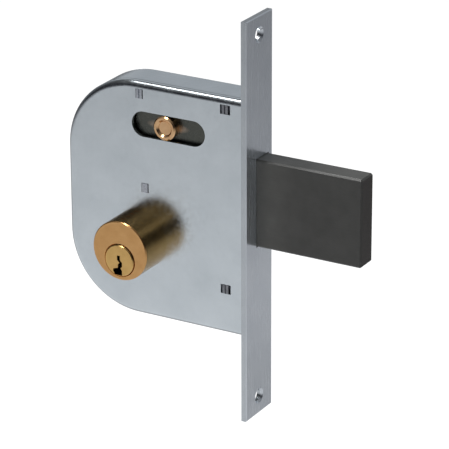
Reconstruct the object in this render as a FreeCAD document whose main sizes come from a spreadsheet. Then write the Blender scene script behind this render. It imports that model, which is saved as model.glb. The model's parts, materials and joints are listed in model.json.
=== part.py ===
import FreeCAD, Part
import math
import os
import re
import Sketcher

# Gate mortise lock: a pressed steel case behind a long forend, a flat deadbolt thrown by a
# toothed swing lever, a round pin cylinder that stands out of the case, and a hand slide
# whose brass stud shows in a slot above the bolt.
# Frame: X runs out of the forend in the direction of the throw, Y from the cylinder side to
# the back of the case, Z up. The origin is the centre of the forend's back face, which seats
# on the gate. Setbacks and the backset are measured from the forend's front face.
# The lock is drawn with its bolt fully thrown. Sizes are in millimetres and degrees.

FOREND_SIZES = {
    "forend_height": 178, "forend_width": 22, "forend_thickness": 2.5, "forend_edge": 0.35,
    "screw_edge": 8, "screw_hole_radius": 2.5, "countersink_radius": 3.5,
}

CASE_SIZES = {
    "case_height": 105, "case_lift": 2, "case_depth": 88, "case_thickness": 19, "sheet_gauge": 1.5,
    "corner_share": 0.38, "bend_radius": 2.4, "back_bend_radius": 1.8, "cover_rim": 3.6,
    "seam_gap": 0.3, "slot_length": 35.4, "slot_height": 11.2, "slot_setback": 38.1,
    "slot_depth": 18.1, "tenon_width": 2.8, "tenon_height": 4, "front_tenon_gap": 1,
    "rear_tenon_gap": 0.35, "tenon_standout": 0.25, "post_width": 7, "post_height": 4.8,
    "front_post_setback": 10.8, "rear_post_inset": 36, "upper_post_inset": 4.9,
    "lower_post_inset": 20.2, "chisel_width": 0.7, "chisel_depth": 0.5,
}

BOLT_SIZES = {
    "bolt_height": 39, "bolt_thickness": 10, "bolt_centre_height": 7.9, "bolt_tail": 36.8,
    "tail_clearance": 0.7, "bolt_back_play": 0.2, "bolt_side_play": 0.25, "bolt_chamfer": 0.7,
    "tail_chamfer": 9, "guide_length": 16, "guide_height": 3, "guide_rivet_radius": 1.5,
    "guide_rivet_depth": 4, "guide_rivet_inset": 4, "keeper_gauge": 1.4, "keeper_length": 14,
    "keeper_screw_radius": 1.1, "keeper_head_radius": 2, "keeper_head_height": 1,
    "keeper_screw_length": 6, "rivet_head_radius": 2.6, "rivet_head_height": 0.7,
    "leaf_gauge": 0.6, "leaf_width": 5, "leaf_length": 14.5, "leaf_bow": 3, "leaf_gap": 0.3,
    "anchor_length": 4, "anchor_height": 5, "anchor_lift": 1.5,
}

LEVER_SIZES = {
    "drive_setback": 30.5, "drive_pin_radius": 2.5, "drive_pin_reach": 7,
    "drive_side_play": 0.85, "drive_top_play": 1, "swing_angle": 72, "arm_gauge": 1.4,
    "arm_gap": 0.3, "arm_hub_radius": 7, "arm_end_radius": 5, "plate_gap": 0.1,
    "sector_gauge": 1.4, "pivot_lift": 9.25, "sector_teeth": 60, "pinion_teeth": 12,
    "spare_teeth": 2, "sector_addendum_share": 0.73, "pinion_addendum_share": 1,
    "root_share": 0.33, "pressure_angle": 20, "backlash": 0.12, "lever_rivet_radius": 1.5,
    "near_rivet_share": 0.37, "far_rivet_share": 0.61, "lever_rivet_head": 0.4, "pivot_radius": 3,
    "pivot_post_radius": 6, "pivot_clip_radius": 5, "pivot_clip_gauge": 0.6,
    "pivot_end": 0.5, "clip_groove": 0.5, "running_play": 0.05, "flat_play": 0.05,
}

CYLINDER_SIZES = {
    "backset": 53, "cylinder_drop": 15.7, "cylinder_radius": 13.2, "cylinder_standout": 16,
    "spigot_step": 0.6, "cylinder_chamfer": 0.45, "plug_radius": 7, "plug_drop": 4.2,
    "plug_standout": 0.7, "plug_chamfer": 0.4, "journal_radius": 5.5, "tail_square": 3.2,
    "plug_clip_radius": 8.3, "plug_clip_gauge": 0.8, "clip_mouth": 8, "clip_clearance": 0.5,
    "fixing_plate_gauge": 1.5, "plate_corner": 3, "plate_rear": 17.2, "plate_front": 17,
    "plate_rise": 13.5, "plate_drop": 15, "fixing_screw_radius": 1.5, "fixing_head_radius": 2.9,
    "fixing_screw_depth": 6, "fixing_screw_spread": 7.5, "fixing_screw_rise": 6.5,
    "upper_tenon_front": 3.2, "upper_tenon_rise": 10.5, "lower_tenon_back": 13.6,
    "lower_tenon_drop": 9.5,
    "first_pin": 2.8, "pin_pitch": 3.4, "pin_radius": 1.35, "pin_play": 0.05,
    "pin_crown_gap": 0.15, "driver_length": 3.4, "spring_wire": 0.16, "spring_radius": 0.95,
    "spring_turns": 4, "cap_thickness": 1.6, "cap_sink": 0.15, "keyway_depth": 15.9,
    "pin_bore_floor": 1.3,
}

SLIDE_SIZES = {
    "stud_offset": 1.6, "stud_radius": 5.3, "stud_standout": 0.9, "stud_bore_radius": 3,
    "stud_bore_depth": 1, "stud_dish": 0.8, "stud_edge": 0.6, "stud_neck_radius": 3,
    "slide_depth": 1.2, "slide_gauge": 1.5, "slide_height": 13.6, "slide_front_reach": 20.5,
    "slide_rear_reach": 20, "slide_play": 0.3, "channel_gauge": 1, "channel_length": 38,
}

# Lengths of the four key pins, from the front: the cuts of the key that fits.
KEY_PIN_LENGTHS = (3.7, 4.5, 3.3, 4.8)

# The keyway's outline on the plug's face, from the plug's axis: a narrow top, two wards that
# step it from side to side, and a wide foot.
KEYWAY = ((-0.9, 2.3), (0.5, 2.3), (0.5, 0.4), (1.5, -0.7), (1.5, -2.5), (0.7, -3.2), (1.4, -4.2),
          (1.5, -6.5), (-2.1, -6.5), (-2.9, -5), (-2.9, -4), (-0.6, -3.2), (-0.6, -1.8), (0.2, -0.9),
          (-0.9, 0.3))

SIZES = {**FOREND_SIZES, **CASE_SIZES, **BOLT_SIZES, **LEVER_SIZES, **CYLINDER_SIZES, **SLIDE_SIZES}

# Places and sizes that follow from the values above.
PLACES = {
    "forend_face": "forend_thickness",
    "case_rear": "forend_face - case_depth",
    "case_front": "-case_thickness / 2",
    "case_back": "case_thickness / 2",
    "inner_front": "case_front + sheet_gauge",
    "inner_back": "case_back - sheet_gauge",
    "case_top": "case_lift + case_height / 2",
    "case_bottom": "case_lift - case_height / 2",
    "screw_spacing": "forend_height - 2 * screw_edge",
    "corner_radius": "case_depth * corner_share",
    "inner_corner": "corner_radius - sheet_gauge",
    "rim_end": "case_front + cover_rim",
    "tray_start": "rim_end + seam_gap",
    "slot_x": "forend_face - slot_setback",
    "slot_rise": "case_top - slot_depth",
    "slot_straight": "(slot_length - slot_height) / 2",
    "stake_height": "tenon_height + 2 * flat_play",
    "bolt_back": "inner_back - bolt_back_play",
    "bolt_front": "bolt_back - bolt_thickness",
    "bolt_top": "bolt_centre_height + bolt_height / 2",
    "bolt_bottom": "bolt_centre_height - bolt_height / 2",
    "throw": "case_depth - sheet_gauge - tail_clearance - bolt_tail",
    "notch_half": "drive_pin_radius + drive_side_play",
    "drive_x": "forend_face - drive_setback",
    "notch_rear": "drive_x - notch_half",
    "notch_front": "drive_x + notch_half",
    "nose_x": "forend_face + throw",
    "tail_x": "forend_face - bolt_tail",
    "guide_start": "-guide_length",
    "upper_guide_low": "bolt_top + bolt_side_play",
    "lower_guide_low": "bolt_bottom - bolt_side_play - guide_height",
    "upper_guide_mid": "upper_guide_low + guide_height / 2",
    "lower_guide_mid": "lower_guide_low + guide_height / 2",
    "keeper_back": "bolt_front - bolt_side_play",
    "keeper_front": "keeper_back - keeper_gauge",
    "keeper_x": "guide_start + keeper_length / 2",
    "anchor_end": "guide_start - leaf_length - flat_play",
    "pivot_x": "drive_x - throw / 2",
    "pivot_z": "case_bottom + pivot_lift",
    "plug_x": "forend_face - backset",
    "plug_z": "-cylinder_drop - plug_drop",
    "gear_distance": "sqrt(pow(plug_z - pivot_z; 2) + pow(plug_x - pivot_x; 2))",
    "gear_module": "2 * gear_distance / (sector_teeth + pinion_teeth)",
    "sector_addendum": "gear_module * sector_addendum_share",
    "pinion_addendum": "gear_module * pinion_addendum_share",
    "root_clearance": "gear_module * root_share",
    "arm_lean": "swing_angle * 1deg / 2",
    "notch_top": "pivot_z + throw / 2 / sin(arm_lean) + drive_pin_radius + drive_top_play",
    "arm_back": "bolt_front - arm_gap",
    "arm_front": "arm_back - arm_gauge",
    "sector_back": "arm_front - plate_gap",
    "sector_front": "sector_back - sector_gauge",
    "pinion_front": "sector_front - plate_gap",
    "pivot_clip_front": "sector_front - flat_play - pivot_clip_gauge",
    "cylinder_face": "case_front - cylinder_standout",
    "cylinder_z": "-cylinder_drop",
    "spigot_radius": "cylinder_radius - spigot_step",
    "plug_bore": "plug_radius + running_play",
    "plug_clip_back": "inner_front + flat_play + plug_clip_gauge",
    "clip_bore": "journal_radius - clip_groove + flat_play",
    "fixing_plate_back": "inner_front + fixing_plate_gauge",
    "fixing_head_height": "fixing_head_radius - fixing_screw_radius",
    "fixing_screw_z": "cylinder_z + fixing_screw_rise",
    "pin_bore": "pin_radius + pin_play",
    "shear_z": "plug_z + plug_radius",
    "driver_low": "shear_z + running_play + flat_play",
    "cylinder_top": "cylinder_z + cylinder_radius",
    "cap_low": "cylinder_top - cap_sink - cap_thickness",
    "stud_x": "slot_x - stud_offset",
    "slide_front": "inner_front + slide_depth",
    "slide_back": "slide_front + slide_gauge",
    "channel_half": "slide_height / 2 + slide_play",
    "channel_front": "slide_back + slide_play",
    "channel_back": "channel_front + channel_gauge",
}

# Spacers that hold the shells apart, and the tenons of the cylinder's plate, in X and Z.
POSTS = {
    "upper_front_post": ("forend_face - front_post_setback", "case_top - upper_post_inset"),
    "lower_front_post": ("forend_face - front_post_setback", "case_bottom + lower_post_inset"),
    "upper_rear_post": ("case_rear + rear_post_inset", "case_top - upper_post_inset"),
}
PLATE_TENONS = (("plug_x + upper_tenon_front", "cylinder_top + upper_tenon_rise"),
                ("plug_x - lower_tenon_back", "cylinder_z - lower_tenon_drop"))

FUNCTIONS = ("sqrt", "pow", "sin", "cos", "tan", "deg")
PLANES = {"front": "XZ_Plane", "top": "XY_Plane", "side": "YZ_Plane"}
TURN_TO_FRONT = FreeCAD.Rotation(FreeCAD.Vector(1, 0, 0), 90)
TURN_TO_THROW = FreeCAD.Rotation(FreeCAD.Vector(0, 1, 0), 90)
UPRIGHT = FreeCAD.Rotation()
SMALLEST_CUT = 0.01
SAME = 0.01

document = FreeCAD.newDocument("gate_lock")
table = document.addObject("Spreadsheet::Sheet", "Dims")
nodes = {}


# The sheet of sizes and the formulas that read it.

def fill_table():
    for row, (name, size) in enumerate(SIZES.items(), start=1):
        table.set(f"A{row}", name)
        table.set(f"B{row}", str(size))
        table.setAlias(f"B{row}", name)
    document.recompute()


def formula(words):
    """Spell words that name sizes and places as an expression on the sheet."""
    def spell(match):
        word = match.group(0)
        if word in SIZES:
            return "Dims." + word
        if word in PLACES:
            return "(" + formula(PLACES[word]) + ")"
        if word in FUNCTIONS:
            return word
        raise ValueError("no such size: " + word)
    return re.sub(r"[a-z]\w*", spell, str(words))


def number(words):
    return float(table.evalExpression(formula(words)))


def bind(thing, field, words):
    thing.setExpression(field, formula(words))


def keep(name, thing):
    thing.Label = name
    nodes[name] = thing


# Bodies made from sketches. A sketch that faces front lies in X and Z, one that faces top in
# X and Y, and one that faces side in Y and Z.

def new_body(name):
    return document.addObject("PartDesign::Body", name)


def new_sketch(body, facing, level):
    sketch = body.newObject("Sketcher::SketchObject", body.Name + "_sketch")
    plane = next(item for item in body.Origin.OriginFeatures if item.Role == PLANES[facing])
    sketch.AttachmentSupport = (plane, [""])
    sketch.MapMode = "FlatFace"
    sign = "-" if facing == "front" else ""
    bind(sketch, "AttachmentOffset.Base.z", f"{sign}({level})")
    return sketch


def bind_point(sketch, item, end, spot):
    for kind, words in zip(("DistanceX", "DistanceY"), spot):
        index = sketch.addConstraint(Sketcher.Constraint(kind, -1, 1, item, end, number(words)))
        bind(sketch, f"Constraints[{index}]", words)


def draw_outline(sketch, corners):
    """A closed outline of straight sides through its corners."""
    spots = [FreeCAD.Vector(number(a), number(b), 0) for a, b in corners]
    lines = []
    for here, there in zip(spots, spots[1:] + spots[:1]):
        lines.append(sketch.addGeometry(Part.LineSegment(here, there), False))
    for line, following in zip(lines, lines[1:] + lines[:1]):
        sketch.addConstraint(Sketcher.Constraint("Coincident", line, 2, following, 1))
    for line, corner in zip(lines, corners):
        bind_point(sketch, line, 1, corner)


def draw_circle(sketch, centre, radius):
    spot = FreeCAD.Vector(number(centre[0]), number(centre[1]), 0)
    circle = sketch.addGeometry(Part.Circle(spot, FreeCAD.Vector(0, 0, 1), number(radius)), False)
    bind_point(sketch, circle, 3, centre)
    index = sketch.addConstraint(Sketcher.Constraint("Radius", circle, number(radius)))
    bind(sketch, f"Constraints[{index}]", radius)


def draw(sketch, outlines, circles):
    for corners in outlines:
        draw_outline(sketch, corners)
    for centre, radius in circles:
        draw_circle(sketch, centre, radius)


def oblong(low_a, high_a, low_b, high_b):
    return [(low_a, low_b), (high_a, low_b), (high_a, high_b), (low_a, high_b)]


def centred(spot, width, height):
    a, b = spot
    half_a, half_b = f"({width}) / 2", f"({height}) / 2"
    return oblong(f"{a} - {half_a}", f"{a} + {half_a}", f"{b} - {half_b}", f"{b} + {half_b}")


def add(body, facing, low, high, outlines=(), circles=()):
    """Fill the outlines between two levels of the axis that they face."""
    sketch = new_sketch(body, facing, high if facing == "front" else low)
    draw(sketch, outlines, circles)
    pad = body.newObject("PartDesign::Pad", body.Name + "_pad")
    pad.Profile = sketch
    bind(pad, "Length", f"({high}) - ({low})")
    document.recompute()


def cut(body, facing, low, high, outlines=(), circles=()):
    """Cut the outlines away between two levels, and see that something went."""
    before = body.Shape.Volume
    sketch = new_sketch(body, facing, low if facing == "front" else high)
    draw(sketch, outlines, circles)
    pocket = body.newObject("PartDesign::Pocket", body.Name + "_pocket")
    pocket.Profile = sketch
    bind(pocket, "Length", f"({high}) - ({low})")
    document.recompute()
    if before - body.Shape.Volume < SMALLEST_CUT:
        raise ValueError("a cut missed " + body.Name)


def soften(body, kind, field, size, test):
    """Fillet or chamfer the edges of a body whose middle and ends pass the test."""
    base = body.Tip
    names = []
    for index, edge in enumerate(base.Shape.Edges, start=1):
        middle = edge.valueAt((edge.FirstParameter + edge.LastParameter) / 2)
        if test(middle, [vertex.Point for vertex in edge.Vertexes]):
            names.append(f"Edge{index}")
    feature = body.newObject("PartDesign::" + kind, body.Name + "_" + kind.lower())
    feature.Base = (base, names)
    bind(feature, field, size)
    document.recompute()


def same(here, there):
    return abs(here - there) < SAME


def flat_at(level):
    """Test for the edges that lie in the plane Y = level."""
    return lambda middle, ends: same(middle.y, level) and all(same(end.y, level) for end in ends)


def corner_at(left):
    """Test for the straight edges along Y at X = left."""
    return lambda middle, ends: all(same(spot.x, left) for spot in [middle] + ends) \
        and same(ends[0].z, ends[-1].z) and not same(ends[0].y, ends[-1].y)


# Turned pieces. A rod that faces front runs from its back end towards the front.

def solid_at(kind, name, spot, turn):
    thing = document.addObject(kind, name)
    thing.Placement = FreeCAD.Placement(FreeCAD.Vector(), turn)
    for axis, words in zip("xyz", spot):
        bind(thing, "Placement.Base." + axis, words)
    return thing


def rod(name, spot, radius, length, turn=TURN_TO_FRONT):
    thing = solid_at("Part::Cylinder", name, spot, turn)
    bind(thing, "Radius", radius)
    bind(thing, "Height", length)
    return thing


def cone(name, spot, first_radius, last_radius, length, turn=TURN_TO_FRONT):
    thing = solid_at("Part::Cone", name, spot, turn)
    bind(thing, "Radius1", first_radius)
    bind(thing, "Radius2", last_radius)
    bind(thing, "Height", length)
    return thing


def joined(name, pieces):
    thing = document.addObject("Part::MultiFuse", name)
    thing.Shapes = pieces
    thing.Refine = True
    document.recompute()
    return thing


def without(name, base, tool):
    thing = document.addObject("Part::Cut", name)
    thing.Base = base
    thing.Tool = tool
    document.recompute()
    return thing


def together(name, pieces):
    """Like fasteners as one group of separate solids."""
    thing = document.addObject("Part::Compound", name)
    thing.Links = pieces
    document.recompute()
    return thing


def headed(name, x, face, z, head_radius, head_height, radius, depth):
    """A screw or rivet whose head stands in front of a face and whose shank runs behind it."""
    head = rod(name + "_head", (x, face, z), head_radius, head_height)
    shank = rod(name + "_shank", (x, f"{face} + {depth}", z), radius, f"{depth} + {head_height} / 2")
    return joined(name, [head, shank])


# Case and forend.

def shell(body, low, high, bend_level, bend_radius):
    """The case's outline between two levels, with round rear corners and one bent-over face."""
    add(body, "front", low, high, [oblong("case_rear", "0", "case_bottom", "case_top")])
    soften(body, "Fillet", "Radius", "corner_radius", corner_at(number("case_rear")))
    on_face = flat_at(number(bend_level))
    soften(body, "Fillet", "Radius", bend_radius,
           lambda middle, ends: on_face(middle, ends) and not same(middle.x, 0))


def hollow(name, low, high):
    """The space inside the case's walls, open towards the forend."""
    body = new_body(name)
    inset = "sheet_gauge"
    add(body, "front", low, high, [
        oblong(f"case_rear + {inset}", "forend_face", f"case_bottom + {inset}", f"case_top - {inset}")])
    soften(body, "Fillet", "Radius", "inner_corner", corner_at(number(f"case_rear + {inset}")))
    return body


def stakes():
    """Holes for the posts' tenons: those at the forend are wider than the rear one."""
    holes = []
    for name, spot in POSTS.items():
        gap = "front_tenon_gap" if "front" in name else "rear_tenon_gap"
        holes.append(centred(spot, f"tenon_width + 2 * {gap}", "stake_height"))
    return holes


def plate_stakes():
    return [centred(spot, "tenon_width + 2 * rear_tenon_gap", "stake_height") for spot in PLATE_TENONS]


def make_front_cover():
    """Pressed lid: rounded bend, slot for the stud, cylinder hole and staking holes."""
    body = new_body("cover_blank")
    shell(body, "case_front", "rim_end", "case_front", "bend_radius")
    cut(body, "front", "case_front", "rim_end", stakes() + plate_stakes(),
        [(("plug_x", "cylinder_z"), "spigot_radius + running_play")])
    cut(body, "front", "case_front", "rim_end",
        [centred(("slot_x", "slot_rise"), "2 * slot_straight", "slot_height")])
    for end in ("slot_x - slot_straight", "slot_x + slot_straight"):
        cut(body, "front", "case_front", "rim_end", (), [((end, "slot_rise"), "slot_height / 2")])
    keep("front_cover", without("front_cover", body, hollow("cover_hollow", "inner_front", "case_back")))


def guide_rivet_spots():
    spots = []
    for x in ("guide_start + guide_rivet_inset", "-guide_rivet_inset"):
        for z in ("upper_guide_mid", "lower_guide_mid"):
            spots.append((x, z))
    return spots


def make_case_body():
    """Pressed tray: the back and the walls, up to the seam behind the lid's rim."""
    body = new_body("tray_blank")
    shell(body, "tray_start", "case_back", "case_back", "back_bend_radius")
    holes = [(("pivot_x", "pivot_z"), "pivot_radius")]
    holes += [(spot, "guide_rivet_radius") for spot in guide_rivet_spots()]
    cut(body, "front", "tray_start", "case_back", stakes(), holes)
    keep("case_body", without("case_body", body, hollow("tray_hollow", "case_front", "inner_back")))


def make_forend():
    """Flat forend with the bolt's window and two countersunk fixing holes."""
    body = new_body("forend_blank")
    add(body, "side", "0", "forend_face", [centred(("0", "0"), "forend_width", "forend_height")])
    cut(body, "side", "0", "forend_face", [
        oblong("bolt_front - bolt_side_play", "bolt_back + bolt_side_play",
               "bolt_bottom - bolt_side_play", "bolt_top + bolt_side_play")])
    half_width = number("forend_width / 2")
    half_height = number("forend_height / 2")
    soften(body, "Chamfer", "Size", "forend_edge",
           lambda middle, ends: same(middle.x, number("forend_face"))
           and (same(abs(middle.y), half_width) or same(abs(middle.z), half_height)))
    tools = []
    for end, height in (("upper", "screw_spacing / 2"), ("lower", "-screw_spacing / 2")):
        tools.append(rod(end + "_fixing_hole", ("0", "0", height),
                         "screw_hole_radius", "forend_thickness", TURN_TO_THROW))
        depth = "countersink_radius - screw_hole_radius"
        tools.append(cone(end + "_countersink", (f"forend_face - ({depth})", "0", height),
                          "screw_hole_radius", "countersink_radius", depth, TURN_TO_THROW))
    keep("forend", without("forend", body, joined("forend_holes", tools)))


def make_posts():
    """Square spacers between the shells, with a tenon at each end spread by a chisel."""
    for name, spot in POSTS.items():
        body = new_body(name)
        add(body, "front", "inner_front", "inner_back", [centred(spot, "post_width", "post_height")])
        add(body, "front", "case_front - tenon_standout", "case_back + tenon_standout",
            [centred(spot, "tenon_width", "tenon_height")])
        groove = [centred(spot, "chisel_width", "tenon_height")]
        front, back = "case_front - tenon_standout", "case_back + tenon_standout"
        cut(body, "front", front, f"{front} + chisel_depth", groove)
        cut(body, "front", f"{back} - chisel_depth", back, groove)
        keep(name, body)


# Deadbolt, guides and brake spring.

def make_deadbolt():
    """Flat bolt with a notch in its tail for the drive pin, open at the bottom."""
    body = new_body("deadbolt")
    add(body, "front", "bolt_front", "bolt_back", [[
        ("nose_x", "bolt_bottom"), ("nose_x", "bolt_top"), ("tail_x + tail_chamfer", "bolt_top"),
        ("tail_x", "bolt_top - tail_chamfer"), ("tail_x", "bolt_bottom"),
        ("notch_rear", "bolt_bottom"), ("notch_rear", "notch_top"),
        ("notch_front", "notch_top"), ("notch_front", "bolt_bottom")]])
    nose = number("nose_x")
    top, bottom = number("bolt_top"), number("bolt_bottom")
    soften(body, "Chamfer", "Size", "bolt_chamfer",
           lambda middle, ends: same(middle.x, nose)
           or (middle.x > 0 and (same(middle.z, top) or same(middle.z, bottom))))
    keep("deadbolt", body)


def make_guides():
    """Bars above and below the bolt, riveted to the back of the case."""
    for name, low in (("upper_guide", "upper_guide_low"), ("lower_guide", "lower_guide_low")):
        body = new_body(name)
        add(body, "front", "bolt_front", "inner_back", [
            oblong("guide_start", "0", low, f"{low} + guide_height")])
        middle = f"{low} + guide_height / 2"
        cut(body, "front", "bolt_front", "bolt_front + keeper_screw_length", (),
            [(("keeper_x", middle), "keeper_screw_radius")])
        for x in ("guide_start + guide_rivet_inset", "-guide_rivet_inset"):
            cut(body, "front", "inner_back - guide_rivet_depth", "inner_back", (),
                [((x, middle), "guide_rivet_radius")])
        keep(name, body)
    rivets = []
    for index, (x, z) in enumerate(guide_rivet_spots(), start=1):
        head = rod(f"guide_rivet_head_{index}", (x, "case_back + rivet_head_height", z),
                   "rivet_head_radius", "rivet_head_height")
        shank = rod(f"guide_rivet_shank_{index}", (x, "case_back", z),
                    "guide_rivet_radius", "sheet_gauge + guide_rivet_depth")
        rivets.append(joined(f"guide_rivet_{index}", [head, shank]))
    keep("guide_rivets", together("guide_rivets", rivets))


def make_keeper():
    """Strap across the front of the bolt, screwed to both guides."""
    body = new_body("bolt_keeper")
    add(body, "front", "keeper_front", "keeper_back", [
        oblong("guide_start", "guide_start + keeper_length",
               "lower_guide_low", "upper_guide_low + guide_height")])
    levels = ("upper_guide_mid", "lower_guide_mid")
    cut(body, "front", "keeper_front", "keeper_back", (),
        [(("keeper_x", z), "keeper_screw_radius") for z in levels])
    keep("bolt_keeper", body)
    screws = [headed(f"keeper_screw_{index}", "keeper_x", "keeper_front", z, "keeper_head_radius",
                     "keeper_head_height", "keeper_screw_radius", "keeper_screw_length")
              for index, z in enumerate(levels, start=1)]
    keep("keeper_screws", together("keeper_screws", screws))


def make_brake_spring():
    """Bowed leaf over the bolt's top edge, and the block that carries it."""
    anchor = new_body("spring_anchor")
    low = "bolt_top + anchor_lift"
    add(anchor, "front", "inner_back - leaf_width", "inner_back", [
        oblong("anchor_end - anchor_length", "anchor_end", low, f"{low} + anchor_height")])
    keep("spring_anchor", anchor)
    start, end = number("anchor_end"), number("anchor_end + leaf_length")
    bottom, bow, gauge = number("bolt_top + leaf_gap"), number("leaf_bow"), number("leaf_gauge")
    level, middle = number("inner_back"), (start + end) / 2
    arcs = []
    for lift in (0, gauge):
        arcs.append(Part.Arc(FreeCAD.Vector(start, level, bottom + bow + lift),
                             FreeCAD.Vector(middle, level, bottom + lift),
                             FreeCAD.Vector(end, level, bottom + bow + lift)).toShape())
    ends = [Part.makeLine(arcs[0].Vertexes[k].Point, arcs[1].Vertexes[k].Point) for k in (0, 1)]
    outline = Part.Wire(Part.__sortEdges__(arcs + ends))
    leaf = document.addObject("Part::Feature", "brake_spring")
    leaf.Shape = Part.Face(outline).extrude(FreeCAD.Vector(0, -number("leaf_width"), 0))
    keep("brake_spring", leaf)


# Swing lever, its gearing and its pivot.

def along_arm(reach, aside=0):
    """A spot at a reach from the pivot along the arm, and aside from its middle line."""
    return (f"pivot_x + ({reach}) * sin(arm_lean) + ({aside}) * cos(arm_lean)",
            f"pivot_z + ({reach}) * cos(arm_lean) - ({aside}) * sin(arm_lean)")


ARM_LENGTH = "throw / 2 / sin(arm_lean)"
RIVET_REACHES = ("gear_distance * near_rivet_share", "gear_distance * far_rivet_share")


def make_swing_arm():
    """Tapered arm from the pivot to the drive pin, behind the toothed sector."""
    body = new_body("swing_arm")
    add(body, "front", "arm_front", "arm_back", [[
        along_arm("0", "arm_hub_radius"), along_arm(ARM_LENGTH, "arm_end_radius"),
        along_arm(ARM_LENGTH, "-arm_end_radius"), along_arm("0", "-arm_hub_radius")]])
    add(body, "front", "arm_front", "arm_back", (), [(("pivot_x", "pivot_z"), "arm_hub_radius")])
    add(body, "front", "arm_front", "arm_back", (), [(along_arm(ARM_LENGTH), "arm_end_radius")])
    holes = [(("pivot_x", "pivot_z"), "pivot_radius + running_play"),
             (along_arm(ARM_LENGTH), "drive_pin_radius")]
    holes += [(along_arm(reach), "lever_rivet_radius") for reach in RIVET_REACHES]
    cut(body, "front", "arm_front", "arm_back", (), holes)
    keep("swing_arm", body)
    x, z = along_arm(ARM_LENGTH)
    keep("drive_pin", rod("drive_pin", (x, "arm_back + drive_pin_reach", z), "drive_pin_radius",
                          "drive_pin_reach + arm_gauge"))


def involute(angle):
    return math.tan(angle) - angle


def tooth(centre, pitch_radius, addendum, dedendum, teeth):
    """One involute tooth as radius and angle pairs, from one root to the other."""
    slope = math.radians(number("pressure_angle"))
    base_radius = pitch_radius * math.cos(slope)
    thickness = math.pi * number("gear_module") / 2 - number("backlash")
    half = thickness / 2 / pitch_radius + involute(slope)
    root, tip = pitch_radius - dedendum, pitch_radius + addendum
    steps = 5
    start = max(base_radius, root)
    radii = [root] if root < base_radius else []
    radii += [start + (tip - start) * step / steps for step in range(steps + 1)]
    flank = []
    for radius in radii:
        pressure = math.acos(min(1, base_radius / radius))
        flank.append((radius, half - involute(pressure)))
    rising = [(radius, centre - turn) for radius, turn in flank]
    falling = [(radius, centre + turn) for radius, turn in reversed(flank)]
    return rising + falling


def flat_shape(centre, pairs, front, back):
    """A plate between two levels whose outline is given as radius and angle pairs."""
    x, z = number(centre[0]), number(centre[1])
    level = number(back)
    corners = [FreeCAD.Vector(x + r * math.cos(a), level, z + r * math.sin(a)) for r, a in pairs]
    face = Part.Face(Part.makePolygon(corners + corners[:1]))
    return face.extrude(FreeCAD.Vector(0, number(front) - level, 0))


def disc(centre, radius, front, back):
    spot = FreeCAD.Vector(number(centre[0]), number(back), number(centre[1]))
    return Part.makeCylinder(number(radius), number(back) - number(front), spot, FreeCAD.Vector(0, -1, 0))


def gear_line():
    """Direction from the lever's pivot to the plug."""
    return math.atan2(number("plug_z - pivot_z"), number("plug_x - pivot_x"))


def make_gear_sector():
    """Toothed sector riveted to the front of the arm, in mesh with the pinion."""
    teeth = int(number("sector_teeth"))
    step = 2 * math.pi / teeth
    spare = int(number("spare_teeth"))
    swept = math.ceil(math.radians(number("swing_angle")) / step)
    pitch_radius = number("gear_module * sector_teeth / 2")
    dedendum = number("pinion_addendum + root_clearance")
    pairs = [(0, 0)]
    for index in range(-swept - spare, spare + 1):
        centre = gear_line() + index * step
        pairs += tooth(centre, pitch_radius, number("sector_addendum"), dedendum, teeth)
    pivot = ("pivot_x", "pivot_z")
    solid = flat_shape(pivot, pairs, "sector_front", "sector_back")
    solid = solid.fuse(disc(pivot, "arm_hub_radius", "sector_front", "sector_back"))
    holes = [disc(pivot, "pivot_radius + running_play", "sector_front", "sector_back")]
    holes += [disc(along_arm(reach), "lever_rivet_radius", "sector_front", "sector_back")
              for reach in RIVET_REACHES]
    sector = document.addObject("Part::Feature", "gear_sector")
    sector.Shape = solid.cut(holes).removeSplitter()
    keep("gear_sector", sector)
    rivets = []
    for index, reach in enumerate(RIVET_REACHES, start=1):
        x, z = along_arm(reach)
        head = rod(f"lever_rivet_head_{index}", (x, "sector_front", z),
                   "lever_rivet_radius + lever_rivet_head", "lever_rivet_head")
        shank = rod(f"lever_rivet_shank_{index}", (x, "arm_back", z), "lever_rivet_radius",
                    "arm_back - sector_front")
        rivets.append(joined(f"lever_rivet_{index}", [head, shank]))
    keep("lever_rivets", together("lever_rivets", rivets))


def make_pinion():
    """Small gear on the square tail of the plug, with a gap between teeth facing the sector."""
    teeth = int(number("pinion_teeth"))
    step = 2 * math.pi / teeth
    pitch_radius = number("gear_module * pinion_teeth / 2")
    dedendum = number("sector_addendum + root_clearance")
    pairs = []
    for index in range(teeth):
        centre = gear_line() + math.pi + (index + 0.5) * step
        pairs += tooth(centre, pitch_radius, number("pinion_addendum"), dedendum, teeth)
    solid = flat_shape(("plug_x", "plug_z"), pairs, "pinion_front", "sector_back")
    side = number("tail_square")
    corner = FreeCAD.Vector(number("plug_x") - side / 2, number("pinion_front"),
                            number("plug_z") - side / 2)
    pinion = document.addObject("Part::Feature", "pinion")
    pinion.Shape = solid.cut(Part.makeBox(side, number("sector_back - pinion_front"), side, corner))
    keep("pinion", pinion)


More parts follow.
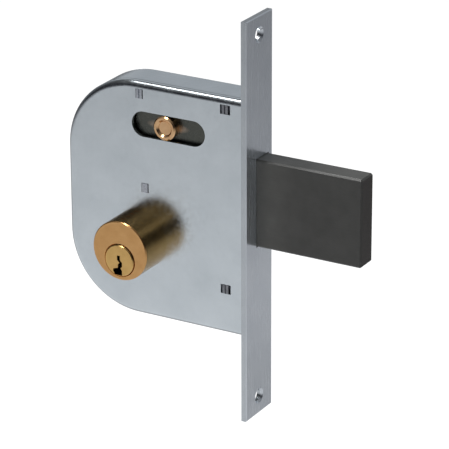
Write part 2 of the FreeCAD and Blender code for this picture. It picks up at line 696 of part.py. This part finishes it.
def make_lever_pivot():
    """Shouldered post riveted into the back of the case, and the clip that keeps the lever on."""
    centre = ("pivot_x", "pivot_z")
    body = new_body("lever_pivot")
    add(body, "front", "arm_back + flat_play", "inner_back", (), [(centre, "pivot_post_radius")])
    add(body, "front", "pivot_clip_front - pivot_end", "case_back + rivet_head_height", (),
        [(centre, "pivot_radius")])
    add(body, "front", "case_back", "case_back + rivet_head_height", (),
        [(centre, "pivot_radius + rivet_head_height")])
    cut(body, "front", "pivot_clip_front", "pivot_clip_front + pivot_clip_gauge", (),
        [(centre, "pivot_radius + flat_play"), (centre, "pivot_radius - clip_groove")])
    keep("lever_pivot", body)
    clip = new_body("pivot_clip")
    add(clip, "front", "pivot_clip_front", "pivot_clip_front + pivot_clip_gauge", (),
        [(centre, "pivot_clip_radius"), (centre, "pivot_radius - clip_groove")])
    cut(clip, "front", "pivot_clip_front", "pivot_clip_front + pivot_clip_gauge", [
        oblong("pivot_x - pivot_radius / 2", "pivot_x + pivot_radius / 2",
               "pivot_z - pivot_clip_radius", "pivot_z")])
    keep("pivot_clip", clip)


# Cylinder.

def pin_levels():
    """Places of the pin stacks along Y, from the cylinder's face."""
    return [f"cylinder_face + first_pin + {index} * pin_pitch" for index in range(len(KEY_PIN_LENGTHS))]


def screw_spots():
    return [(f"plug_x {side} fixing_screw_spread", "fixing_screw_z") for side in "-+"]


def make_cylinder_body():
    """Round brass body that shoulders on the cover, with a spigot through the cover's hole.

    The plug's bore lies below its middle and the pin chambers above.
    """
    body = new_body("cylinder_body")
    centre, plug = ("plug_x", "cylinder_z"), ("plug_x", "plug_z")
    add(body, "front", "cylinder_face", "case_front", (), [(centre, "cylinder_radius")])
    add(body, "front", "case_front", "inner_front", (), [(centre, "spigot_radius")])
    on_face = flat_at(number("cylinder_face"))
    soften(body, "Chamfer", "Size", "cylinder_chamfer", on_face)
    cut(body, "front", "cylinder_face", "inner_front", (), [(plug, "plug_bore")])
    plug_x, plug_z, bore_radius = number("plug_x"), number("plug_z"), number("plug_bore")
    soften(body, "Chamfer", "Size", "plug_chamfer",
           lambda middle, ends: on_face(middle, ends)
           and same(math.hypot(middle.x - plug_x, middle.z - plug_z), bore_radius))
    cut(body, "top", "plug_z", "cylinder_top", (), [(("plug_x", y), "pin_bore") for y in pin_levels()])
    cut(body, "front", "inner_front - fixing_screw_depth", "inner_front", (),
        [(spot, "fixing_screw_radius") for spot in screw_spots()])
    keep("cylinder_body", body)


def make_cylinder_plug():
    """Plug with its keyway and pin bores, a journal for the clip and a square tail."""
    body = new_body("cylinder_plug")
    centre = ("plug_x", "plug_z")
    front = "cylinder_face - plug_standout"
    add(body, "front", front, "inner_front", (), [(centre, "plug_radius")])
    soften(body, "Chamfer", "Size", "plug_chamfer", flat_at(number(front)))
    add(body, "front", "inner_front", "pinion_front", (), [(centre, "journal_radius")])
    add(body, "front", "pinion_front", "sector_back", [centred(centre, "tail_square", "tail_square")])
    cut(body, "front", front, f"{front} + keyway_depth",
        [[(f"plug_x + {x}", f"plug_z + {z}") for x, z in KEYWAY]])
    cut(body, "top", "plug_z + pin_bore_floor", "shear_z", (),
        [(("plug_x", y), "pin_bore") for y in pin_levels()])
    cut(body, "front", "inner_front", "plug_clip_back", (),
        [(centre, "journal_radius + flat_play"), (centre, "journal_radius - clip_groove")])
    keep("cylinder_plug", body)
    clip = new_body("plug_clip")
    add(clip, "front", "inner_front + flat_play", "plug_clip_back", (),
        [(centre, "plug_clip_radius"), (centre, "clip_bore")])
    cut(clip, "front", "inner_front + flat_play", "plug_clip_back", [
        oblong("plug_x - clip_mouth / 2", "plug_x + clip_mouth / 2",
               "plug_z - plug_clip_radius", "plug_z")])
    keep("plug_clip", clip)


def make_pin_stacks():
    """Key pins in the plug, and driver pins, springs and caps in the chambers above."""
    caps = []
    for index, (y, length) in enumerate(zip(pin_levels(), KEY_PIN_LENGTHS), start=1):
        low = f"shear_z - pin_crown_gap - {length}"
        keep(f"key_pin_{index}", rod(f"key_pin_{index}", ("plug_x", y, low),
                                     "pin_radius", str(length), UPRIGHT))
        keep(f"driver_pin_{index}", rod(f"driver_pin_{index}", ("plug_x", y, "driver_low"),
                                        "pin_radius", "driver_length", UPRIGHT))
        keep(f"pin_spring_{index}", coil(f"pin_spring_{index}", y))
        caps.append(rod(f"chamber_cap_{index}", ("plug_x", y, "cap_low"),
                        "pin_bore", "cap_thickness", UPRIGHT))
    keep("chamber_caps", together("chamber_caps", caps))


def coil(name, y):
    """Compression spring between a driver pin and its cap."""
    low = "driver_low + driver_length + spring_wire + flat_play"
    high = "cap_low - spring_wire - flat_play"
    helix = solid_at("Part::Helix", name + "_line", ("plug_x", y, low), UPRIGHT)
    bind(helix, "Radius", "spring_radius")
    bind(helix, "Height", f"{high} - ({low})")
    bind(helix, "Pitch", f"({high} - ({low})) / spring_turns")
    wire = solid_at("Part::Circle", name + "_wire", ("plug_x + spring_radius", y, low),
                    FreeCAD.Rotation(FreeCAD.Vector(1, 0, 0), 90))
    bind(wire, "Radius", "spring_wire")
    document.recompute()
    spring = document.addObject("Part::Sweep", name)
    spring.Sections = [wire]
    spring.Spine = (helix, [f"Edge{index}" for index in range(1, len(helix.Shape.Edges) + 1)])
    spring.Solid = True
    spring.Frenet = True
    document.recompute()
    return spring


def make_fixing_plate():
    """Plate inside the cover that holds the cylinder, with two tenons staked in the face."""
    body = new_body("plate_blank")
    add(body, "front", "inner_front", "fixing_plate_back", [
        oblong("plug_x - plate_rear", "plug_x + plate_front", "cylinder_z - plate_drop",
               "cylinder_top + plate_rise")])
    left, right = number("plug_x - plate_rear"), number("plug_x + plate_front")
    soften(body, "Fillet", "Radius", "plate_corner",
           lambda middle, ends: corner_at(left)(middle, ends) or corner_at(right)(middle, ends))
    for spot in PLATE_TENONS:
        add(body, "front", "case_front - tenon_standout", "fixing_plate_back",
            [centred(spot, "tenon_width", "tenon_height")])
    cut(body, "front", "inner_front", "fixing_plate_back", (),
        [(("plug_x", "plug_z"), "plug_clip_radius + clip_clearance")])
    seats, screws = [], []
    for index, (x, z) in enumerate(screw_spots(), start=1):
        back = "fixing_plate_back"
        seats.append(cone(f"screw_seat_{index}", (x, back, z), "fixing_head_radius",
                          "fixing_screw_radius", "fixing_head_height"))
        seats.append(rod(f"screw_hole_{index}", (x, back, z), "fixing_screw_radius",
                         "fixing_plate_gauge"))
        head = cone(f"screw_head_{index}", (x, back, z), "fixing_head_radius",
                    "fixing_screw_radius", "fixing_head_height")
        shank = rod(f"screw_shank_{index}", (x, back, z), "fixing_screw_radius",
                    "fixing_plate_gauge + fixing_screw_depth")
        screws.append(joined(f"cylinder_screw_{index}", [head, shank]))
    keep("fixing_plate", without("fixing_plate", body, joined("screw_seats", seats)))
    keep("cylinder_screws", together("cylinder_screws", screws))


# Hand slide.

def make_slide():
    """Plate behind the slot that carries the brass stud, and the channel it runs in."""
    centre = ("stud_x", "slot_rise")
    plate = new_body("slide_plate")
    add(plate, "front", "slide_front", "slide_back", [
        oblong("stud_x - slide_rear_reach", "stud_x + slide_front_reach",
               "slot_rise - slide_height / 2", "slot_rise + slide_height / 2")])
    cut(plate, "front", "slide_front", "slide_back", (), [(centre, "stud_neck_radius")])
    keep("slide_plate", plate)
    stud = new_body("brass_stud")
    front = "case_front - stud_standout"
    add(stud, "front", front, "slide_front", (), [(centre, "stud_radius")])
    soften(stud, "Chamfer", "Size", "stud_edge", flat_at(number(front)))
    add(stud, "front", "slide_front", "slide_back", (), [(centre, "stud_neck_radius")])
    cut(stud, "front", front, f"{front} + stud_bore_depth", (), [(centre, "stud_bore_radius")])
    bore_radius = number("stud_bore_radius")
    soften(stud, "Chamfer", "Size", "stud_dish",
           lambda middle, ends: flat_at(number(front))(middle, ends)
           and same(math.hypot(middle.x - number("stud_x"), middle.z - number("slot_rise")), bore_radius))
    keep("brass_stud", stud)
    channel = new_body("slide_channel")
    left, right = "slot_x - channel_length / 2", "slot_x + channel_length / 2"
    outer = "channel_half + channel_gauge"
    add(channel, "front", "inner_front", "channel_back", [
        oblong(left, right, f"slot_rise - ({outer})", f"slot_rise + ({outer})")])
    cut(channel, "front", "inner_front", "channel_front", [
        oblong(left, right, "slot_rise - channel_half", "slot_rise + channel_half")])
    keep("slide_channel", channel)


def check_objects():
    for thing in document.Objects:
        if "Invalid" in thing.State or "Error" in thing.State:
            raise ValueError("failed: " + thing.Name)
    for name, thing in nodes.items():
        if thing.Shape.isNull() or not thing.Shape.isValid() or thing.Shape.Volume <= 0:
            raise ValueError("bad shape: " + name)


def write_steps():
    os.makedirs("parts", exist_ok=True)
    for name, thing in nodes.items():
        thing.Shape.exportStep(f"parts/{name}.step")


fill_table()
make_forend()
make_front_cover()
make_case_body()
make_posts()
make_deadbolt()
make_guides()
make_keeper()
make_brake_spring()
make_swing_arm()
make_gear_sector()
make_pinion()
make_lever_pivot()
make_cylinder_body()
make_cylinder_plug()
make_pin_stacks()
make_fixing_plate()
make_slide()
document.recompute()
check_objects()
write_steps()
print(len(nodes), "nodes")
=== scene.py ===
import json
import math

import bpy
from mathutils import Matrix, Vector


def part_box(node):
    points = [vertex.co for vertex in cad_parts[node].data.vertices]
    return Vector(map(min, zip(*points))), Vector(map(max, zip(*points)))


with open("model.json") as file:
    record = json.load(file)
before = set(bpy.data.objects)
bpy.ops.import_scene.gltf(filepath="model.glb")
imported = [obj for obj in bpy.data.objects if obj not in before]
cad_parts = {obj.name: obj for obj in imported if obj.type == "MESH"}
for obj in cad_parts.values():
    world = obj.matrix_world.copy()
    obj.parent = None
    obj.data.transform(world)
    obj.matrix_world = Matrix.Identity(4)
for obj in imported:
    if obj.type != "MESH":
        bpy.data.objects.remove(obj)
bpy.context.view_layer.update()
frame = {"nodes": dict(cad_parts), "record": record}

# Gate mortise lock, dressed for a plain studio. Lengths are in metres in the frame of the CAD,
# and in millimetres where a comment says so.
MM = 0.001
X, Y, Z = range(3)
SLOT_OF = {part["node"]: part["material_slot"] for part in frame["record"]["subparts"]}


def rgb(red, green, blue):
    return (red, green, blue, 1.0)


# Where a Mix node has its two colours and, among its outputs, their blend.
MIX_FIRST, MIX_SECOND, MIX_RESULT = 6, 7, 2

# Edges that turn by more than this many degrees are drawn crisp.
CRISP_ANGLE = 28

# The range of a noise that is spread over the whole range of a colour or roughness.
NOISE_LOW, NOISE_HIGH = 0.3, 0.7

# Bends of the sheet: how squarely they look along Y where they start and end, and the painted shade
# that darkens them.
BEND_START, BEND_END = (0.1, 0.25), (0.75, 0.95)
BEND_SHADE = 0.35

# The forend: how squarely a face looks along an axis to count as its front or end, how fine its
# lines are along each axis, and the painted shade of its ends against its long sides.
STRIP_SQUARE = (0.6, 0.8)
STRIP_STRETCH = (3.0, 3.0, 0.05)
STRIP_END_SHADE = 0.6

# The bolt: how fine its lines are along each axis, how squarely a face looks along X to count as
# its end, which is painted darker as shade, and where painted light makes it paler beside the
# forend, against the shade there, along X in millimetres, and how much.
BOLT_STRETCH = (0.08, 2.0, 2.5)
BOLT_SQUARE = (0.7, 0.95)
BOLT_PAINTED_LIGHT_SPAN = (2.5, 26)
BOLT_PAINTED_LIGHT = 1.9

# Turned brass: how squarely a face looks along the axis to count as its front; the rest is its
# side, which can get painted shade.
BRASS_SQUARE = (0.3, 0.7)

# The painted reflection of the stud on its plate: its shape along X and Z, per millimetre, and how
# its edge fades.
REFLECTION_SHAPE = (0.1, 0, 0.42)
REFLECTION_EDGE = (0.5, 1.05)

# Camera: turned about the vertical, tipped down and rolled, in degrees, with its distance from
# the forend's front face and its offsets to the right and up in millimetres.
CAMERA_TURN, CAMERA_TIP, CAMERA_ROLL = 29.89, 21.8, -0.23
CAMERA_DISTANCE, CAMERA_RIGHT, CAMERA_UP = 1200, -14.5, -1.98
CAMERA_NEAREST, CAMERA_FARTHEST = 0.05, 50
FOCAL_PIXELS, IMAGE_PIXELS, SENSOR_WIDTH = 2877.5, 449, 36

# Floor: its level and half its width, its tones in front and behind, where painted shade darkens it
# behind, and where one turns into the other along Y, and a painted shadow on it, a dark round
# patch, with its middle, its fading edge and its tone.
FLOOR_LEVEL, FLOOR_HALF = -0.22, 6
FLOOR_NEAR, FLOOR_FAR = rgb(0.85, 0.85, 0.86), rgb(0.46, 0.46, 0.47)
FLOOR_SHADE = (-0.05, 0.6)
PAINTED_SHADOW_MIDDLE = (0.15, 0.26, 0)
PAINTED_SHADOW_REACH = (0.02, 0.13)
PAINTED_SHADOW_DEPTH = 0.55

# The floor as the camera sees it: a grey that takes the shadow, under a glow that makes it white.
SEEN_GREY = rgb(0.4, 0.4, 0.4)
SEEN_GLOW = 0.8

# Room: its walls in front and behind and its ceiling, and where each turns into the next, by the
# part of a direction that goes along Y or up.
FRONT_WALL, BACK_WALL = rgb(0.03, 0.03, 0.035), rgb(0.46, 0.48, 0.505)
CEILING = rgb(0.2, 0.2, 0.205)
ROOM_TURNS = (-0.3, 0.3)
CEILING_RISE = (0.45, 0.65)

# Lamps, which all point at the origin, in the middle of the forend's back.
LAMPS = {
    "softbox": {"place": (-0.35, -0.15, 1.0), "size": (0.9, 0.29), "power": 13},
    "front_card": {"place": (0.44, -0.96, 0.55), "size": (0.3, 0.3), "power": 0.15},
}


def axis_of(node):
    """Where a round piece's axis stands, in X and Z."""
    low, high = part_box(node)
    middle = (low + high) / 2
    return middle.x, middle.z


# Node trees.

class Tree:
    """The node tree of a material or world under construction."""

    def __init__(self, owner):
        owner.use_nodes = True
        self.owner = owner
        self.nodes = owner.node_tree.nodes
        self.links = owner.node_tree.links

    def new(self, kind, **settings):
        node = self.nodes.new(kind)
        for field, value in settings.items():
            setattr(node, field, value)
        return node

    def feed(self, socket, value):
        """Link an output to a socket, or set a plain value on it."""
        if isinstance(value, bpy.types.NodeSocket):
            self.links.new(value, socket)
        else:
            socket.default_value = value

    def coordinates(self, kind):
        return self.new("ShaderNodeTexCoord").outputs[kind]

    def separate(self, vector):
        node = self.new("ShaderNodeSeparateXYZ")
        self.feed(node.inputs[0], vector)
        return node.outputs

    def math(self, operation, first, second=0.0):
        node = self.new("ShaderNodeMath", operation=operation)
        self.feed(node.inputs[0], first)
        self.feed(node.inputs[1], second)
        return node.outputs[0]

    def math_vector(self, operation, first, second=(0, 0, 0)):
        node = self.new("ShaderNodeVectorMath", operation=operation)
        self.feed(node.inputs[0], first)
        self.feed(node.inputs["Scale" if operation == "SCALE" else 1], second)
        return node.outputs["Value" if operation in ("DISTANCE", "LENGTH") else "Vector"]

    def spread(self, value, low, high, start=NOISE_LOW, end=NOISE_HIGH):
        """A value that goes from low to high while another goes from start to end."""
        node = self.new("ShaderNodeMapRange")
        for socket, number in zip(node.inputs[:5], (value, start, end, low, high)):
            self.feed(socket, number)
        return node.outputs[0]

    def blend(self, share, first, second):
        node = self.new("ShaderNodeMix", data_type="RGBA")
        self.feed(node.inputs[0], share)
        self.feed(node.inputs[MIX_FIRST], first)
        self.feed(node.inputs[MIX_SECOND], second)
        return node.outputs[MIX_RESULT]


class Metal(Tree):
    """A metal, whose texture coordinates and depths are in millimetres."""

    def __init__(self, name):
        super().__init__(bpy.data.materials.new(name))
        self.shader = self.nodes["Principled BSDF"]
        self.place = self.math_vector("SCALE", self.coordinates("Object"), 1 / MM)

    def noise(self, per_mm, detail, vector=None):
        node = self.new("ShaderNodeTexNoise")
        self.feed(node.inputs["Vector"], vector or self.place)
        self.feed(node.inputs["Scale"], per_mm)
        self.feed(node.inputs["Detail"], detail)
        return node.outputs["Fac"]

    def drawn_lines(self, stretch):
        """Fine lines of the drawing bench, stretched along the bar."""
        drawn = self.math_vector("MULTIPLY", self.place, stretch)
        return self.noise(per_mm=1, detail=3, vector=drawn)

    def weigh(self, first, second, part):
        """The mean of two values, of which the second counts for a part."""
        rest = self.math("MULTIPLY", first, 1 - part)
        return self.math("ADD", rest, self.math("MULTIPLY", second, part))

    def mottle(self, share, dark, light):
        """A colour that goes from dark to light with a noise."""
        return self.blend(self.spread(share, 0, 1), dark, light)

    def vary(self, value, share, less, more):
        """A value that goes from a little less to a little more with a noise."""
        return self.spread(share, value - less, value + more)

    def facing(self, axis):
        """How far the surface looks along one axis of the object, either way."""
        return self.math("ABSOLUTE", self.separate(self.coordinates("Normal"))[axis])

    def off_axis(self, axis, weights):
        """Distance from an axis along Y, where each direction counts by its weight."""
        arm = self.math_vector("SUBTRACT", self.place, (axis[0] / MM, 0, axis[1] / MM))
        return self.math_vector("LENGTH", self.math_vector("MULTIPLY", arm, weights))

    def bump(self, height, depth, normal=None):
        node = self.new("ShaderNodeBump")
        self.feed(node.inputs["Height"], height)
        self.feed(node.inputs["Distance"], depth * MM)
        if normal is not None:
            self.feed(node.inputs["Normal"], normal)
        return node.outputs[0]

    def finish(self, colour, roughness, normal, metallic=1.0):
        self.feed(self.shader.inputs["Base Color"], colour)
        self.feed(self.shader.inputs["Roughness"], roughness)
        self.feed(self.shader.inputs["Normal"], normal)
        self.shader.inputs["Metallic"].default_value = metallic
        return self.owner


class Backdrop(Tree):
    """A material or world that looks one way to the camera and another way to the lock."""

    def __init__(self, owner, output):
        super().__init__(owner)
        self.nodes.clear()
        self.output = self.new(output)

    def shader(self, kind, **values):
        node = self.new(kind)
        for socket, value in values.items():
            self.feed(node.inputs[socket], value)
        return node.outputs[0]

    def add(self, first, second):
        node = self.new("ShaderNodeAddShader")
        self.feed(node.inputs[0], first)
        self.feed(node.inputs[1], second)
        return node.outputs[0]

    def finish(self, lit, seen):
        choice = self.new("ShaderNodeMixShader")
        self.feed(choice.inputs[0], self.new("ShaderNodeLightPath").outputs["Is Camera Ray"])
        self.feed(choice.inputs[1], lit)
        self.feed(choice.inputs[2], seen)
        self.feed(self.output.inputs[0], choice.outputs[0])
        return self.owner


# Metals.

def zinc_sheet(name, light, dark, rough):
    """Rolled sheet with a bluish zinc plating: clouds, fine grain, slight dents, and painted shade
    along its bends.
    """
    tree = Metal(name)
    clouds = tree.noise(per_mm=0.07, detail=4)
    grain = tree.noise(per_mm=1.6, detail=3)
    flat = tree.mottle(tree.weigh(clouds, grain, part=0.25), dark, light)
    # Painted shade: faces turned part way between the front and the top, along the bends, are
    # darkened.
    turned = tree.facing(Y)
    starts = tree.spread(turned, 0, 1, *BEND_START)
    ends = tree.spread(turned, 1, 0, *BEND_END)
    bend_shade = tree.math_vector("SCALE", flat, BEND_SHADE)
    colour = tree.blend(tree.math("MULTIPLY", starts, ends), flat, bend_shade)
    roughness = tree.vary(rough, tree.noise(per_mm=0.6, detail=3), less=0.03, more=0.07)
    dents = tree.bump(tree.noise(per_mm=0.12, detail=1), depth=0.02)
    normal = tree.bump(tree.noise(per_mm=4, detail=2), depth=0.0015, normal=dents)
    return tree.finish(colour, roughness, normal)


def zinc_strip(name, light, dark, edge_shade, rough):
    """Drawn flat bar with fine lines along its length, and painted shade that darkens its sides and
    its ends still more.
    """
    tree = Metal(name)
    lines = tree.drawn_lines(STRIP_STRETCH)
    clouds = tree.noise(per_mm=0.08, detail=3)
    face = tree.mottle(tree.weigh(lines, clouds, part=0.65), dark, light)
    # Painted shade: the sides are darker than the front, and the ends darker still.
    side_shade = tree.math_vector("MULTIPLY", face, edge_shade)
    end = tree.math_vector("SCALE", side_shade, STRIP_END_SHADE)
    shaded_rim = tree.blend(tree.spread(tree.facing(Z), 0, 1, *STRIP_SQUARE), side_shade, end)
    colour = tree.blend(tree.spread(tree.facing(X), 0, 1, *STRIP_SQUARE), shaded_rim, face)
    roughness = tree.vary(rough, lines, less=0.03, more=0.06)
    waves = tree.bump(tree.noise(per_mm=0.1, detail=1), depth=0.02)
    normal = tree.bump(lines, depth=0.0012, normal=waves)
    return tree.finish(colour, roughness, normal, metallic=0.9)


def black_steel(name, light, dark, end, rough):
    """Blackened bar: lines along the throw, patches of oxide, an end painted browner and darker as
    shade, and painted light that makes its root paler beside the forend.
    """
    tree = Metal(name)
    patches = tree.noise(per_mm=0.15, detail=4)
    lines = tree.drawn_lines(BOLT_STRETCH)
    bar = tree.mottle(tree.weigh(patches, lines, part=0.3), dark, light)
    # Painted light: the bar is made paler towards the forend, against the shade there.
    painted_light_reach = tree.spread(tree.separate(tree.place)[X], 1, 0, *BOLT_PAINTED_LIGHT_SPAN)
    painted_lift = tree.math("MULTIPLY", tree.math("MULTIPLY", painted_light_reach, painted_light_reach), BOLT_PAINTED_LIGHT)
    bar = tree.math_vector("SCALE", bar, tree.math("ADD", painted_lift, 1))
    # Painted shade: faces that look along X take the darker end colour.
    colour = tree.blend(tree.spread(tree.facing(X), 0, 1, *BOLT_SQUARE), bar, end)
    roughness = tree.vary(rough, lines, less=0.05, more=0.08)
    pits = tree.bump(tree.noise(per_mm=2.5, detail=4), depth=0.004)
    normal = tree.bump(lines, depth=0.003, normal=pits)
    return tree.finish(colour, roughness, normal, metallic=0.0)


def turned_brass(name, axis, light, dark, rough, side_shade=(1, 1, 1)):
    """Brass turned about an axis along Y, with rings on its faces and round its side, which a side
    shade can paint darker.
    """
    tree = Metal(name)
    section = tree.new("ShaderNodeCombineXYZ")
    tree.feed(section.inputs[0], tree.off_axis(axis, (1, 0, 1)))
    tree.feed(section.inputs[1], tree.separate(tree.place)[Y])
    rings = tree.noise(per_mm=3.2, detail=2, vector=section.outputs[0])
    clouds = tree.noise(per_mm=0.25, detail=4)
    face = tree.mottle(tree.weigh(rings, clouds, part=0.6), dark, light)
    # Painted shade: the side is tinted darker than the faces by the side shade.
    shaded_rim = tree.math_vector("MULTIPLY", face, side_shade)
    colour = tree.blend(tree.spread(tree.facing(Y), 0, 1, *BRASS_SQUARE), shaded_rim, face)
    roughness = tree.vary(rough, tree.noise(per_mm=0.9, detail=3), less=0.04, more=0.06)
    waves = tree.bump(tree.noise(per_mm=0.5, detail=1), depth=0.001)
    normal = tree.bump(rings, depth=0.0004, normal=waves)
    return tree.finish(colour, roughness, normal)


def plate_with_painted_reflection(name, axis, dark, stud_reflection, rough):
    """Dark plate with a pale brown painted reflection of a stud, whose axis runs along Y, drawn out
    along X.
    """
    tree = Metal(name)
    painted_reflection = tree.spread(tree.off_axis(axis, REFLECTION_SHAPE), 1, 0, *REFLECTION_EDGE)
    patchy = tree.spread(tree.noise(per_mm=0.35, detail=3), low=0.6, high=1)
    colour = tree.blend(tree.math("MULTIPLY", painted_reflection, patchy), dark, stud_reflection)
    roughness = tree.vary(rough, tree.noise(per_mm=1.5, detail=3), less=0.05, more=0.08)
    normal = tree.bump(tree.noise(per_mm=3, detail=3), depth=0.002)
    return tree.finish(colour, roughness, normal)


def plain_metal(name, light, dark, rough):
    """Plain inner metal with a fine grain and stains."""
    tree = Metal(name)
    colour = tree.mottle(tree.noise(per_mm=0.3, detail=4), dark, light)
    roughness = tree.vary(rough, tree.noise(per_mm=1.5, detail=3), less=0.05, more=0.08)
    normal = tree.bump(tree.noise(per_mm=3, detail=3), depth=0.003)
    return tree.finish(colour, roughness, normal)


MATERIALS = {
    "zinc_case": zinc_sheet(
        "zinc_sheet", light=rgb(0.62, 0.67, 0.7), dark=rgb(0.545, 0.595, 0.625), rough=0.2),
    # The forend's sides get painted shade, darker than its front.
    "zinc_forend": zinc_strip(
        "zinc_strip", light=rgb(0.89, 0.94, 0.99), dark=rgb(0.78, 0.83, 0.89),
        edge_shade=(0.575, 0.58, 0.575), rough=0.22),
    "staked_steel": plain_metal(
        "staked_steel", light=rgb(0.3, 0.31, 0.33), dark=rgb(0.16, 0.165, 0.18), rough=0.32),
    "pale_stakes": plain_metal(
        "pale_stakes", light=rgb(0.48, 0.51, 0.55), dark=rgb(0.38, 0.4, 0.44), rough=0.28),
    # The bolt's end colour is painted shade, darker than its bar.
    "black_bolt": black_steel(
        "black_steel", light=rgb(0.065, 0.065, 0.06), dark=rgb(0.046, 0.046, 0.042),
        end=rgb(0.03, 0.024, 0.019), rough=0.42),
    # The cylinder body's side is painted darker than its face, as shade.
    "satin_brass": turned_brass(
        "brass_body", axis_of("cylinder_body"), light=rgb(0.62, 0.36, 0.15),
        dark=rgb(0.52, 0.285, 0.11), rough=0.2, side_shade=(0.78, 0.88, 0.8)),
    "plug_brass": turned_brass(
        "brass_plug", axis_of("cylinder_plug"), light=rgb(0.65, 0.42, 0.155),
        dark=rgb(0.55, 0.34, 0.12), rough=0.2),
    "stud_brass": turned_brass(
        "brass_stud", axis_of("brass_stud"), light=rgb(0.76, 0.49, 0.27),
        dark=rgb(0.6, 0.36, 0.18), rough=0.2),
    "pin_brass": plain_metal(
        "pin_brass", light=rgb(0.6, 0.42, 0.2), dark=rgb(0.5, 0.33, 0.14), rough=0.25),
    "spring_steel": plain_metal(
        "spring_steel", light=rgb(0.42, 0.42, 0.43), dark=rgb(0.3, 0.3, 0.31), rough=0.3),
    # The pale brown round the stud is a painted reflection of it.
    "dark_slide": plate_with_painted_reflection(
        "dark_slide", axis_of("brass_stud"), dark=rgb(0.1, 0.104, 0.092),
        stud_reflection=rgb(0.46, 0.36, 0.28), rough=0.3),
    "inner_steel": plain_metal(
        "inner_steel", light=rgb(0.45, 0.46, 0.47), dark=rgb(0.34, 0.35, 0.36), rough=0.32),
}

# Pieces whose look differs from the rest of their slot.
OWN_MATERIALS = {
    "cylinder_plug": "plug_brass",
    "upper_rear_post": "pale_stakes",
    "fixing_plate": "pale_stakes",
}


def dress(name, node):
    """Give a piece its metal and crisp edges."""
    slot = OWN_MATERIALS.get(name, SLOT_OF[name])
    node.data.materials.clear()
    node.data.materials.append(MATERIALS[slot])
    for face in node.data.polygons:
        face.use_smooth = True
        face.material_index = 0
    split = node.modifiers.new("crisp_edges", "EDGE_SPLIT")
    split.split_angle = math.radians(CRISP_ANGLE)


for name, node in frame["nodes"].items():
    dress(name, node)


# Studio: a pale floor, a dim room, a large softbox overhead and a weak card in front.

def floor_material():
    """White to the camera, and to the lock a pale floor with painted shade that darkens it behind
    and a painted shadow on it.
    """
    tree = Backdrop(bpy.data.materials.new("pale_floor"), "ShaderNodeOutputMaterial")
    flat = tree.math_vector("MULTIPLY", tree.coordinates("Object"), (1, 1, 0))
    # Painted shade: the floor darkens behind the lock.
    behind = tree.spread(tree.separate(flat)[Y], 0, 1, *FLOOR_SHADE)
    # Painted shadow: a dark round patch on the floor behind the lock.
    painted_shadow = tree.spread(tree.math_vector("DISTANCE", flat, PAINTED_SHADOW_MIDDLE), PAINTED_SHADOW_DEPTH, 1, *PAINTED_SHADOW_REACH)
    tone = tree.math_vector("SCALE", tree.blend(behind, FLOOR_NEAR, FLOOR_FAR), painted_shadow)
    lit = tree.shader("ShaderNodeBsdfDiffuse", Color=tone)
    grey = tree.shader("ShaderNodeBsdfDiffuse", Color=SEEN_GREY)
    glow = tree.shader("ShaderNodeEmission", Strength=SEEN_GLOW)
    return tree.finish(lit, tree.add(grey, glow))


def make_floor():
    corners = [(across * FLOOR_HALF, along * FLOOR_HALF, FLOOR_LEVEL)
               for across, along in ((-1, -1), (1, -1), (1, 1), (-1, 1))]
    mesh = bpy.data.meshes.new("floor")
    mesh.from_pydata(corners, [], [(0, 1, 2, 3)])
    mesh.materials.append(floor_material())
    floor = bpy.data.objects.new("floor", mesh)
    bpy.context.scene.collection.objects.link(floor)


def make_room():
    """A dark wall in front, a paler one behind and a dim ceiling."""
    tree = Backdrop(bpy.data.worlds.new("room"), "ShaderNodeOutputWorld")
    heading = tree.separate(tree.coordinates("Generated"))
    walls = tree.blend(tree.spread(heading[Y], 0, 1, *ROOM_TURNS), FRONT_WALL, BACK_WALL)
    roofed = tree.blend(tree.spread(heading[Z], 0, 1, *CEILING_RISE), walls, CEILING)
    lit = tree.shader("ShaderNodeBackground", Color=roofed)
    seen = tree.shader("ShaderNodeBackground")
    bpy.context.scene.world = tree.finish(lit, seen)


def make_lamp(name, place, size, power):
    lamp = bpy.data.lights.new(name, "AREA")
    lamp.shape = "RECTANGLE"
    lamp.size, lamp.size_y = size
    lamp.energy = power
    holder = bpy.data.objects.new(name, lamp)
    holder.location = place
    holder.rotation_euler = (-Vector(place)).to_track_quat("-Z", "Y").to_euler()
    bpy.context.scene.collection.objects.link(holder)


def make_camera():
    turn, tip, roll = (math.radians(angle) for angle in (CAMERA_TURN, CAMERA_TIP, CAMERA_ROLL))
    level = math.cos(tip)
    forward = Vector((-math.sin(turn) * level, math.cos(turn) * level, -math.sin(tip)))
    right = Vector((math.cos(turn), math.sin(turn), 0))
    up = right.cross(forward)
    across = right * math.cos(roll) + up * math.sin(roll)
    upward = up * math.cos(roll) - right * math.sin(roll)
    face = Vector((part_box("forend")[1].x, 0, 0))
    place = face + (right * CAMERA_RIGHT + up * CAMERA_UP - forward * CAMERA_DISTANCE) * MM
    camera = bpy.data.cameras.new("camera")
    camera.sensor_width = SENSOR_WIDTH
    camera.lens = SENSOR_WIDTH * FOCAL_PIXELS / IMAGE_PIXELS
    camera.clip_start, camera.clip_end = CAMERA_NEAREST, CAMERA_FARTHEST
    holder = bpy.data.objects.new("camera", camera)
    bpy.context.scene.collection.objects.link(holder)
    turned = Matrix((across, upward, -forward)).transposed().to_4x4()
    holder.matrix_world = Matrix.Translation(place) @ turned
    bpy.context.scene.camera = holder


make_floor()
make_room()
for name, values in LAMPS.items():
    make_lamp(name, **values)
make_camera()
bpy.context.scene.view_settings.view_transform = "Standard"
